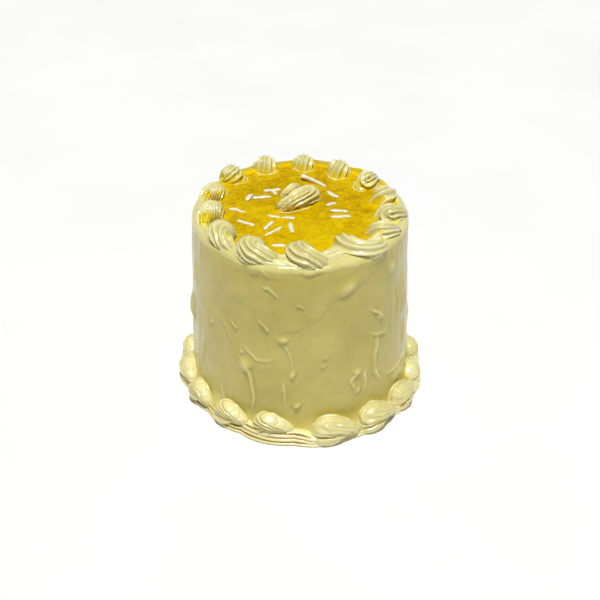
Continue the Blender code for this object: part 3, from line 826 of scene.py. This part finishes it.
def groove_profile(angle, ribs):
    """1 at the bottom of a groove and 0 on a crest, round a section, and the plain rest at 0."""
    phase = (angle + RIB_SPREAD / 2) / (RIB_SPREAD / (ribs - 1))
    groove = np.abs(np.sin(np.pi * phase)) ** RIB_POWER
    return groove * ease((RIB_SPREAD / 2 + 6 - np.abs(angle)) / 10)


def eye_distance(t, a, reach, half, eye, drawn=1.0):
    """How far over the shell a place lies from the eye, or beyond it from the line to the tail.
    Distances along the shell count that many times."""
    back = np.maximum(eye[0] - t, 0) * math.radians(1) * reach
    round_scale = (half + reach / 2) / 2 * np.clip(9.8 / half, 1, 1.3)
    aside = (a - eye[1]) * math.radians(1) * round_scale
    return np.hypot(back * drawn, aside)


def curled_groove(away, a, widening):
    """The same as groove_profile for ribs that curl round the shell's eye."""
    phase = (away / EYE_SPACING) ** widening
    phase = phase + RIB_LEAN * np.sin(2 * np.pi * phase)
    groove = np.abs(np.sin(np.pi * phase)) ** RIB_POWER
    return groove * ease((150 - np.abs(a)) / 20)


def lined_groove(away, t, lines, notches):
    """The same for a smooth core with lines round it and notches across it."""
    groove = sum(np.exp(-(((away - line) / (0.5 + 0.03 * line)) ** 2)) for line in lines)
    if notches:
        across = np.abs(np.sin(np.pi * (t + 2.0 * away) / notches))
        notch = np.exp(-((across / 0.3) ** 2)) * ease((lines[0] - 1.0 - away) / 1.5)
        groove = groove + 0.5 * notch
    return np.clip(groove, 0, 1)


def bent(ahead, side, bend, tail):
    """Bends a straight shell to its left, by that many degrees at the end of its tail."""
    rate = math.radians(bend) / (TAIL_REACH * tail)
    turn = rate * ahead
    x = np.sin(turn) / rate
    y = (1 - np.cos(turn)) / rate
    return x - side * np.sin(turn), y + side * np.cos(turn)


def shell_grid(
    place, heading, form, seed, sections=SHELL_SECTIONS, depth=RIB_DEPTH, fingers=0.0, tall=1.0
):
    """Points of one piped shell, with how deep in a groove each of them lies. Its place is that of
    the middle of its head, and its form is its bend, size, tail and ribs. Fingers is how much
    further the crests reach than the grooves at the end of the tail."""
    bend, scale, tail, ribs = form
    eye = ribs if isinstance(ribs, tuple) else None
    lined = eye and len(eye) > 3
    drawn = 1.0
    if lined:
        drawn, lines, depth, notches = eye[2:]
    turns = np.linspace(0, sections[-1][0], SHELL_ROWS)
    reach, half = smooth_table(sections, turns)
    angles = 180 - np.arange(SHELL_SIDES) * 360 / SHELL_SIDES
    angles = angles - TOP_CROWDING * np.sin(np.radians(angles))
    t, a = np.meshgrid(turns, angles, indexing="ij")
    reach = reach[:, None]
    half = half[:, None]
    out = (reach + NEAR_SIDE) / 2
    deep = (reach - NEAR_SIDE) / 2
    # The ribs wander a little along the shell.
    local = np.stack((t * 0.25, a * 0.12, np.zeros_like(t)), axis=-1)
    wander = 5.0 * noise(local, 9, seed) + 3.0 * noise(local, 4, seed + 1)
    away = eye_distance(t + wander, a + wander, reach, half, eye, drawn) if eye else None
    if lined:
        groove = lined_groove(away, t + wander, lines, notches)
    elif eye:
        groove = curled_groove(away, a, eye[2])
    else:
        groove = groove_profile(a + wander, ribs)
    risen = 0.35 + 0.65 * ease(t / 30)
    size = 1 - depth * groove * risen
    if lined:
        folds = 1 - 3.0 * np.abs(noise(local, 6.0, seed + 4))
        folds = folds + 0.5 - 1.6 * np.abs(noise(local, 3.5, seed + 5))
        inside = ease((lines[0] - away) / 2)
        size = size + (0.02 if notches else 0.05) * folds * inside
        if not notches:
            # Ribs that have nearly run together.
            ribbed = np.abs(np.sin(np.pi * (away + 0.12 * wander) / CORE_SPACING))
            size = size - CORE_DEPTH * ribbed * inside
            groove = np.maximum(groove, 0.5 * ribbed * inside)
    elif eye:
        pit = np.exp(-(((t - eye[0]) / 7) ** 2 + ((a - eye[1]) / 10) ** 2))
        size = size - PIT_DEPTH * pit
        # The pit takes the painted groove shade too.
        groove = np.maximum(groove, pit)
    size = size * (1 + 0.03 * noise(local, 5, seed + 2))
    around = np.radians(a)
    turn = np.radians(t)
    far = out + deep * size * np.cos(around)
    side = half * size * np.sin(around)
    ahead = HEAD_MIDDLE - far * np.cos(turn)
    stretch = tail * (1 + fingers * (0.5 - groove) * ease((t - 80) / 60))
    ahead = np.where(ahead > 0, ahead * stretch, ahead)
    ahead, side = bent(ahead, side, bend, tail)
    up = (far * np.sin(turn) - HINGE_DROP) * tall
    turn = math.radians(heading)
    x = place[0] + scale * (ahead * math.cos(turn) - side * math.sin(turn))
    y = place[1] + scale * (ahead * math.sin(turn) + side * math.cos(turn))
    grid = np.stack((x, y, place[2] + scale * up), axis=-1)
    normals = grid_normals(grid)
    lumps = 0.16 * rough(grid, 4.5, seed + 3) + 0.05 * noise(grid, 1.6, seed + 7)
    grid = grid + normals * lumps[..., None]
    return grid, groove * risen


def ringed(shell, seat, seed, **shape):
    """A shell of one of the two borders."""
    azimuth, ring, aim = shell[:3]
    turn = math.radians(azimuth)
    place = (ring * math.cos(turn), ring * math.sin(turn), seat)
    return shell_grid(place, azimuth + aim, shell[3:], seed, **shape)


def foot_ring(grid, facing, spread, seed):
    """A thin raised line of icing on the glaze round the foot of a shell, on the side that it
    faces."""
    flat = grid[grid[..., 2] > GLAZE_TOP]
    middle = (flat.max(axis=0) + flat.min(axis=0)) / 2
    away = flat - middle
    way = np.degrees(np.arctan2(away[:, 1], away[:, 0]))
    reach = np.hypot(away[:, 0], away[:, 1])
    angles = facing + np.linspace(-spread, spread, RING_ROWS)
    found = [reach[np.abs(turn_gap(way, angle)) < 9].max() for angle in angles]
    found = np.convolve(np.pad(found, 3, "edge"), np.ones(7) / 7, "valid")
    turn = np.radians(angles)
    spine = ring_points(1, turn, 0)
    wobble = 0.25 * noise(spine * 9, 4, seed)
    radius = found + RING_GAP + wobble
    around = np.arange(RING_SIDES) * 2 * math.pi / RING_SIDES
    thick = RING_THICK * np.sqrt(np.clip(1 - np.linspace(-1, 1, RING_ROWS) ** 6, 0.03, 1))
    thick = (thick * (1 + 0.5 * noise(spine * 9, 2.5, seed + 1)))[:, None]
    out = radius[:, None] - thick * np.cos(around)
    x = middle[0] + out * np.cos(turn)[:, None]
    y = middle[1] + out * np.sin(turn)[:, None]
    z = GLAZE_TOP + 0.25 + thick * np.sin(around)
    return np.stack((x, y, z), axis=-1)


# Places where glaze has run onto an upper shell: shell number, the spot in mm and its size.
GEL_SPOTS = (
    (12, (-62.5, -17.7, 140.0), 4.6), (12, (-65.2, -20.8, 138.7), 3.0),
    (13, (-65.2, 13.0, 140.9), 3.2), (14, (-56.2, 45.1, 137.2), 4.0),
    (14, (-51.2, 38.9, 137.0), 2.6), (11, (-46.1, -45.7, 141.9), 2.6),
    (11, (-43.4, -43.2, 136.0), 3.4), (11, (-42.3, -47.1, 135.6), 3.0),
    (9, (7.0, -59.4, 142.4), 1.8), (7, (49.6, -39.7, 138.8), 2.8),
    (7, (53.3, -38.6, 141.6), 1.8), (4, (49.9, 33.0, 139.0), 2.4),
)
# Upper shells with a thin line round their foot: which way it faces from straight in and its half
# spread, in degrees.
RINGED = {1: (0, 62), 2: (0, 66), 3: (-6, 66), 4: (-14, 60), 14: (10, 50)}
# How high glaze stands between the ribs of each upper shell, in mm above the pool.
GEL_HEIGHTS = (5.5, 5, 6, 6, 8, 5, 4, 0, 1.5, 2, 5, 7, 7, 7)


def gel_on(grid, groove, number, shell):
    """How much glaze covers each point of an upper shell, from 0 to 1."""
    azimuth, ring = shell[:2]
    turn = math.radians(azimuth)
    inward = ring - (grid[..., 0] * math.cos(turn) + grid[..., 1] * math.sin(turn))
    height = grid[..., 2] - GLAZE_TOP
    ragged = 0.8 * noise(grid, 3.0, 60 + number)
    top = GEL_HEIGHTS[number - 1]
    low = ease((top + 2 * ragged - height) / 2.5) * ease((inward + 3) / 4)
    amount = low * ease((groove - 0.2) / 0.3)
    foot = ease((1.3 + ragged - height) / 0.8) * ease((inward - 2) / 3) * (top > 0)
    amount = np.maximum(amount, foot)
    for spot, place, size in GEL_SPOTS:
        if spot == number:
            near = np.linalg.norm(grid - place, axis=-1) / size + ragged * 0.25
            part = ease((1.1 - near) / 0.3)
            amount = np.maximum(amount, part * ease((groove - 0.02) / 0.2 + 0.4))
    return amount


# Ropes of icing along the front rim: the shell that each belongs to, its path, and its radius at
# the ends and in the middle, in mm.
ROPES = (
    (10, ((-24.1, -56.3, 141.5), (-19.2, -59.4, 137.6), (-14.7, -61.9, 136.6), (-9.0, -62.7, 136.6),
          (-2.5, -60.9, 137.0)), 1.6, 2.3),
    (10, ((-26.7, -66.7, 134.5), (-20.9, -67.6, 135.0), (-14.6, -68.3, 135.0), (-7.6, -69.4, 134.5),
          (0.9, -71.0, 134.0)), 2.4, 3.6),
    (9, ((1.8, -71.0, 134.6), (8.9, -69.3, 135.0), (15.2, -66.4, 135.2), (21.1, -61.8, 135.6),
         (28.7, -57.5, 136.0)), 3.0, 4.2),
    (9, ((10.9, -61.4, 136.6), (16.0, -61.1, 137.0), (20.6, -57.6, 137.2),
         (24.9, -51.8, 137.0)), 2.0, 2.8),
    (8, ((43.2, -48.8, 137.2), (49.6, -42.1, 137.4), (55.6, -33.3, 137.4)), 2.4, 3.2),
)
ROPE_ROWS = 72
ROPE_SIDES = 28


def rope(path, thin, thick, seed):
    """A lumpy rope of icing with lengthwise ridges, and how deep in a groove each point lies."""
    at = np.linspace(0, len(path) - 1, ROPE_ROWS)
    knots = [(k, *spot) for k, spot in enumerate(path)]
    spine = np.stack(smooth_table(knots, at), axis=-1)
    way = np.gradient(spine, axis=0)
    way = way / np.linalg.norm(way, axis=1)[:, None]
    across = np.cross(way, (0, 0, 1))
    across = across / np.linalg.norm(across, axis=1)[:, None]
    above = np.cross(across, way)
    share = at / at[-1]
    wide = thin + (thick - thin) * np.sin(np.pi * share)
    wide = wide * (1 + 0.30 * noise(spine, 4.5, seed))
    wide = wide * np.sqrt(np.clip(1 - (2 * share - 1) ** 8, 0.02, 1))
    around = -np.arange(ROPE_SIDES) * 2 * math.pi / ROPE_SIDES
    twist = around + 1.6 * share[:, None] + 0.8 * noise(spine, 6, seed + 1)[:, None]
    groove = 1 - np.abs(np.cos(2.5 * twist)) ** 0.7
    radius = wide[:, None] * (1 - 0.20 * groove)
    grid = spine[:, None] + across[:, None] * (radius * np.cos(around))[..., None]
    grid = grid + above[:, None] * (radius * np.sin(around))[..., None]
    return grid, groove


def make_upper_shells():
    material = piping_material("upper_piped_icing", UPPER_GROOVE_SHADE)
    for number, shell in enumerate(UPPER_SHELLS, 1):
        seed = 100 + number * 10
        sections = SWEPT_SECTIONS if number == SWEPT else SHELL_SECTIONS
        grid, groove = ringed(shell, DISH_FLOOR, seed, sections=sections)
        parts = Parts()
        # Painted shade in the grooves and the pit of an eye, and glaze where it has run in.
        parts.add(grid, hollow=groove**2, gel=gel_on(grid, groove, number, shell))
        if number in RINGED:
            facing, spread = RINGED[number]
            parts.add(foot_ring(grid, shell[0] + 180 + facing, spread, seed), hollow=0, gel=0)
        for at, (owner, path, thin, thick) in enumerate(ROPES):
            if owner == number:
                strand, lines = rope(path, thin, thick, 1300 + at * 10)
                # The rope's grooves take the painted groove shade.
                parts.add(strand, hollow=0.6 * lines, gel=0)
        name = f"upper_piping_{number:02d}"
        parts.make(name, material, "upper_piping", [f"upper_shell_{number:02d}"])


def stain_at(azimuth):
    """The tan stain in the grooves shows along the front left of the foot only."""
    return within(azimuth, -124, 42, 8)


def layered_at(azimuth):
    """The skirt's layers stand apart along the left half of the front and, less, at the back."""
    return np.maximum(within(azimuth, -146, 62, 6), 0.75 * within(azimuth, 80, 60, 20))


def make_lower_shells():
    material = piping_material("lower_piped_icing", LOWER_GROOVE_SHADE, stain=True)
    for number, shell in enumerate(LOWER_SHELLS, 1):
        seed = 400 + number * 10
        seat = SKIRT_TOP - 0.6 + 2.0 * float(layered_at(shell[0]))
        grid, groove = ringed(shell, seat, seed, tall=LOWER_HEIGHT)
        azimuth = np.degrees(np.arctan2(grid[..., 1], grid[..., 0]))
        low = ease((11 - grid[..., 2]) / 4)
        stain = ease((groove - 0.35) / 0.4) * low * stain_at(azimuth)
        *_, notches = shell[-1]
        shade = NOTCHED_SHADE if notches else RIBBED_SHADE
        parts = Parts()
        # Painted groove shade, with a share of it all over, and the tan stain low in the grooves.
        parts.add(grid, hollow=np.maximum(groove, shade), gel=0, stain=stain * 0.8)
        name = f"lower_piping_{number:02d}"
        parts.make(name, material, "lower_piping", [f"lower_shell_{number:02d}"])
    return material


# The skirt under the lower shells.


def scallop(azimuth):
    """0 between two lower shells and 1 in the middle of one."""
    places = sorted(shell[0] % 360 for shell in LOWER_SHELLS)
    places = np.array([*places, places[0] + 360])
    turned = (azimuth - places[0]) % 360 + places[0]
    k = np.clip(np.searchsorted(places, turned, "right") - 1, 0, len(places) - 2)
    share = (turned - places[k]) / (places[k + 1] - places[k])
    return np.abs(np.cos(np.pi * share)) ** SCALLOP_POWER


# The skirt's outline, outermost first: offsets from its edge and heights, how far the grooves
# between the layers go in there and how much they count as grooves, for the painted groove shade and
# the tan stain.
SKIRT_OUTLINE = (
    (-1.4, 0.0, 0, 0), (-0.5, 0.2, 0, 0), (0.0, 0.6, 0, 0), (0.0, 1.2, 0, 0),
    (-0.3, 1.8, 0, 0.2), (-0.8, 2.0, 0.4, 0.9), (-1.0, 2.1, 2.0, 1), (-1.1, 2.6, 1.8, 1),
    (-1.0, 2.8, 0.1, 0.5), (-1.0, 3.4, 0, 0), (-1.2, 4.0, 0, 0), (-1.5, 4.4, 0, 0.2),
    (-2.0, 4.6, 0.4, 0.9), (-2.2, 4.7, 2.0, 1), (-2.3, 5.2, 1.8, 1), (-2.2, 5.4, 0.1, 0.5),
    (-2.2, 6.0, 0, 0), (-2.5, 6.6, 0, 0), (-2.9, 7.0, 0, 0.2), (-3.4, 7.2, 0.4, 0.9),
    (-3.7, 7.3, 1.6, 1), (-3.8, 7.7, 1.2, 1), (-3.9, 8.0, 0, 0.4), (-4.6, 8.4, 0, 0),
    (-8.0, 8.6, 0, 0.2),
)


def make_skirt(material):
    turn = np.arange(SKIRT_SIDES) * 2 * math.pi / SKIRT_SIDES
    azimuth = np.degrees(turn)
    swell = sum(
        amount * np.exp(-((turn_gap(azimuth, at) / stretch) ** 2))
        for at, stretch, amount in SKIRT_SWELLS
    )
    edge = SKIRT_RADIUS + swell + SKIRT_SCALLOP * (scallop(azimuth) - 0.5)
    ring = ring_points(90, turn, 0)
    rows = []
    hollows = []
    layered = layered_at(azimuth)
    for offset, height, depth, hollow in SKIRT_OUTLINE:
        wave = 0.5 * rough(ring + np.array((0, 0, height * 9)), 11, 51)
        drift = 0.35 * noise(ring + np.array((0, 0, height * 5)), 7, 57)
        share = min(height / 1.5, 1)
        out = edge + offset * (1 - 0.3 * (1 - layered)) - depth * (0.08 + 0.92 * layered)
        out = out + drift * min(1, height)
        z = np.maximum(height * (0.72 + 0.28 * layered) + wave * share * 0.55, 0)
        rows.append(ring_points(out, turn, z))
        # Painted shade in the grooves between the layers, strongest where they stand apart.
        hollows.append(hollow * (0.15 + 0.85 * layered))
    for height in (6.0, 0.0):
        rows.append(ring_points(wall_radius(0) - 1.2, turn, height))
        hollows.append(np.zeros(SKIRT_SIDES))
    grid = np.array(rows)
    hollow = np.array(hollows)
    stain = ease((hollow - 0.4) / 0.4) * stain_at(np.broadcast_to(azimuth, hollow.shape))
    patchy = 0.8 + 0.5 * noise(grid, 9, 71)
    count, sides, _ = grid.shape
    faces = grid_faces(count, sides)
    i = np.arange(sides)
    j = (i + 1) % sides
    last = (count - 1) * sides
    faces += np.stack((last + i, last + j, j, i), axis=1).tolist()
    add_piece(
        "skirt_icing", grid.reshape(-1, 3), faces, material, "lower_piping", ["foot_skirt"],
        hollow=hollow.reshape(-1), gel=np.zeros(hollow.size),
        stain=np.clip(stain * patchy, 0, 1).reshape(-1),
    )


# The swirl.


def swirl_grid(lobe, seed):
    """Points of one of the swirl's lobes, how deep in a groove they lie and how glazed they are."""
    x, y, heading, *form, high = lobe
    place = (x, y, GLAZE_TOP + high)
    grid, groove = shell_grid(place, heading, form, seed, SWIRL_SECTIONS, depth=0.24, fingers=0.22)
    height = grid[..., 2] - GLAZE_TOP
    ragged = 0.8 * noise(grid, 3, seed + 9)
    gel = ease((4.5 + 2 * ragged - height) / 3) * ease((groove - 0.4) / 0.3)
    return grid, groove, np.maximum(gel, ease((0.7 + ragged - height) / 0.8))


def make_swirl():
    parts = Parts()
    for number, lobe in enumerate(SWIRL_LOBES):
        grid, groove, wet = swirl_grid(lobe, 700 + number * 20)
        # Painted shade in the swirl's grooves.
        parts.add(grid, hollow=groove**2, gel=wet)
        if number == 0:
            parts.add(foot_ring(grid, -84, 48, 760), hollow=0, gel=0)
    material = piping_material("swirl_piped_icing", SWIRL_GROOVE_SHADE)
    parts.make("swirl_piping", material, "swirl_piping", ["center_swirl"])


# The glaze and its slivers.


def make_glaze():
    sides, rings = 420, 96
    turn = np.arange(sides) * 2 * math.pi / sides
    share = np.linspace(0.004, 1, rings)[:, None]
    edge = DISH_RADIUS - 0.5
    x = edge * share * np.cos(turn)
    y = edge * share * np.sin(turn) + DISH_BACK
    flat = np.stack((x, y, np.zeros_like(x)), axis=-1)
    level = GLAZE_TOP + 0.16 * rough(flat, 8, 81) + 0.06 * noise(flat, 2.6, 91)
    near = np.full(x.shape, 60.0)
    for azimuth, ring, aim, bend, scale, tail, _ in UPPER_SHELLS:
        middle = math.radians(azimuth)
        heading = middle + math.radians(aim + bend / 3)
        for along in (-6, 0, 8, 14):
            sx = ring * math.cos(middle) + along * tail * scale * math.cos(heading)
            sy = ring * math.sin(middle) + along * tail * scale * math.sin(heading)
            near = np.minimum(near, np.hypot(x - sx, y - sy) - (10.5 - max(along, 0) * 0.3) * scale)
    by_swirl = np.hypot((x - 1) / 1.15, y - 13) - 13.0
    near = np.minimum(near, by_swirl)
    rim = (1 - share) * edge + np.zeros_like(x)
    level = level + 0.5 * (1 - ease(np.maximum(near, 0) / 2.0))
    level = level + 0.6 * (1 - ease(rim / 2.2))
    # Lighter along the rim and beside the shells and the swirl.
    thin = np.maximum(
        2.2 * (1 - ease(rim / 5)), 0.6 * (1 - ease(np.maximum(near, 0) / 4))
    )
    # Darker towards the back and the sides.
    thin = thin - 0.6 * ease((np.hypot(x, y + 20) - 30) / 26)
    # A painted shadow: the glaze is darker round the swirl.
    thin = thin - 1.0 * (1 - ease(by_swirl / 9))
    top = np.stack((x, y, level), axis=-1)[::-1]
    under = np.stack((x[-1], y[-1], np.full(sides, DISH_FLOOR + 0.4)), axis=-1)[None]
    parts = Parts()
    parts.add(np.concatenate((under, top)), thin=np.concatenate((thin[-1:], thin[::-1])))
    parts.make("glaze_pool", glaze_material(), "glaze", ["lemon_glaze"])


def make_slivers():
    parts = Parts()
    sides, rows = 12, 22
    around = np.arange(sides) * 2 * math.pi / sides
    for number, (cx, cy, heading, length) in enumerate(SLIVERS):
        tall = number == TALL_SLIVER
        along = np.linspace(-1, 1, rows)[:, None]
        ends = np.sqrt(np.clip(1 - np.abs(along) ** 5, 0.02, 1))
        local = np.stack((along * length / 2, along * 0, along * 0), axis=-1)
        wide = (1.6 if tall else 1.4) * ends * (1 + 0.5 * noise(local + number * 7, 2.4, 900))
        if tall:
            knob = 0.9 * ease((-along - 0.45) / 0.4)
            wide = wide * (0.75 + knob + 0.4 * ease((along - 0.6) / 0.4))
        thick = (1.5 if tall else 1.0) * ends
        u = along * length / 2 + around * 0
        curve = 0.5 * noise(local, 7, 940 + number)
        v = wide * np.sign(np.cos(around)) * np.abs(np.cos(around)) ** 0.7 + curve
        sunk = 0.12 + 0.7 * noise(local + number * 7, 5, 920)
        up = thick * np.sin(around) + (TALL_LIFT * (1 - along) / 2 if tall else sunk)
        turn = math.radians(heading)
        x = cx + u * math.cos(turn) - v * math.sin(turn)
        y = cy + u * math.sin(turn) + v * math.cos(turn)
        grid = np.stack((x, y, GLAZE_TOP + up), axis=-1)
        ragged = 0.25 * noise(grid, 1.8, 980 + number)
        parts.add(grid, gel=ease((0.55 + ragged - up) / 0.5) * 0.9)
    parts.make("glaze_slivers", sliver_material(), "glaze", ["lemon_glaze"])


# Camera, light and floor, in metres.

# The camera fitted to the photo, whose focal length is in the photo's pixels.
PHOTO_WIDTH = 600
FOCAL_LENGTH = 976.412
SENSOR_WIDTH = 36
CAMERA_PLACE = (0, -0.589404, 0.472721)
CAMERA_AIM = (0, 0, 0.059212)
# The way to the sun, its strength and its width in degrees, and the sky's strength.
SUN_WAY = (0.0, -0.22, 1.0)
SUN_STRENGTH = 3.1
SUN_WIDTH = 8
SKY_STRENGTH = 0.12
FLOOR_REACH = 4.0
FLOOR_DROP = 0.0004


def link(name, data):
    made = bpy.data.objects.new(name, data)
    bpy.context.scene.collection.objects.link(made)
    return made


def make_stage():
    mesh = bpy.data.meshes.new("floor")
    corners = ((-1, -1), (1, -1), (1, 1), (-1, 1))
    points = [(x * FLOOR_REACH, y * FLOOR_REACH, -FLOOR_DROP) for x, y in corners]
    mesh.from_pydata(points, [], [(0, 1, 2, 3)])
    mesh.materials.append(floor_material())
    floor = link("floor", mesh)


def make_camera():
    data = bpy.data.cameras.new("camera")
    data.sensor_width = SENSOR_WIDTH
    data.lens = FOCAL_LENGTH / PHOTO_WIDTH * SENSOR_WIDTH
    data.clip_end = 20
    camera = link("camera", data)
    camera.location = CAMERA_PLACE
    way = Vector(CAMERA_AIM) - camera.location
    camera.rotation_euler = way.to_track_quat("-Z", "Y").to_euler()
    bpy.context.scene.camera = camera


def make_light():
    world = bpy.data.worlds.new("studio")
    world.use_nodes = True
    background = world.node_tree.nodes["Background"]
    background.inputs["Color"].default_value = (1.0, 1.0, 1.0, 1)
    background.inputs["Strength"].default_value = SKY_STRENGTH
    bpy.context.scene.world = world
    light = bpy.data.lights.new("key", "SUN")
    light.energy = SUN_STRENGTH
    light.angle = math.radians(SUN_WIDTH)
    link("key", light).rotation_euler = Vector(SUN_WAY).to_track_quat("Z", "Y").to_euler()
    bpy.context.scene.view_settings.view_transform = "Standard"


make_camera()
make_light()
make_stage()
make_wall()
make_upper_shells()
make_skirt(make_lower_shells())
make_swirl()
make_glaze()
make_slivers()
